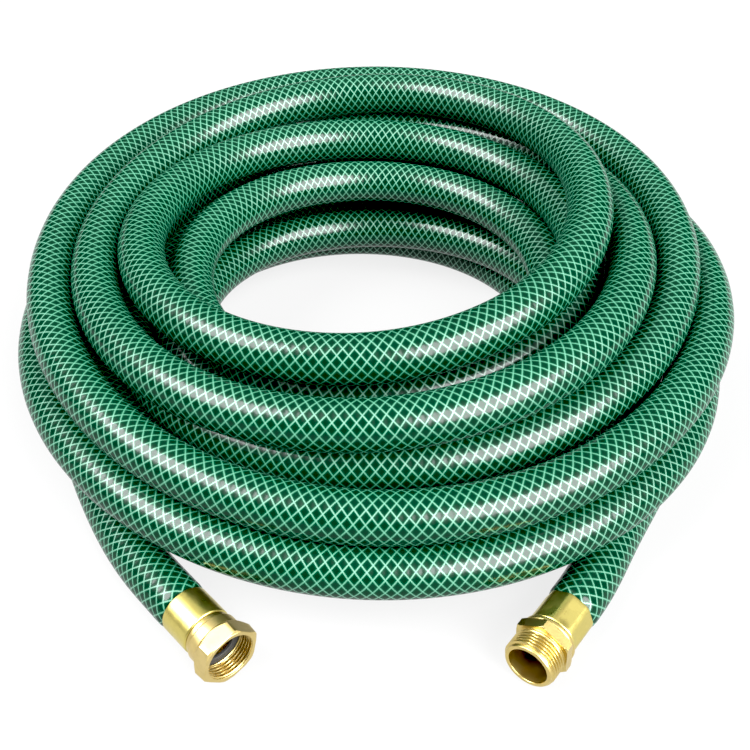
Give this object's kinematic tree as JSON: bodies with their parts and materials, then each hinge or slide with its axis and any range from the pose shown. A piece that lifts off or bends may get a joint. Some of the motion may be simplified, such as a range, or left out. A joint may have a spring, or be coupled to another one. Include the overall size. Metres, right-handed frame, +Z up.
{
  "type": "coiled water hose",
  "caption": "Braid-reinforced water hose lying in a flat round coil, with a swivel female and a fixed male brass coupling.",
  "frame": {"origin": "bottom centre of the whole object's box, on the floor that the coil lies on", "axes": "+Z up along the coil's axis, -Y towards the side where both ends of the hose come out, +X towards the male end"},
  "size_m": [0.538, 0.5794, 0.1483],
  "materials": {
    "hose": "glossy clear green PVC over a woven reinforcement",
    "brass": "bright machined brass",
    "washer": "plain black rubber"
  },
  "bodies": {
    "hose": {"hose_coil": "hose", "hose_tail_female": "hose", "hose_tail_male": "hose", "female_ferrule": "brass", "female_stem": "brass", "rubber_washer": "washer", "male_ferrule": "brass", "male_coupling": "brass"},
    "nut": {"swivel_nut": "brass"}
  },
  "joints": [
    {"name": "nut_swivel", "type": "hinge", "parent": "hose", "child": "nut", "pos_m": [-0.09081, -0.26721, 0.01995], "axis": [0.6691, -0.7431, 0], "continuous": true}
  ]
}
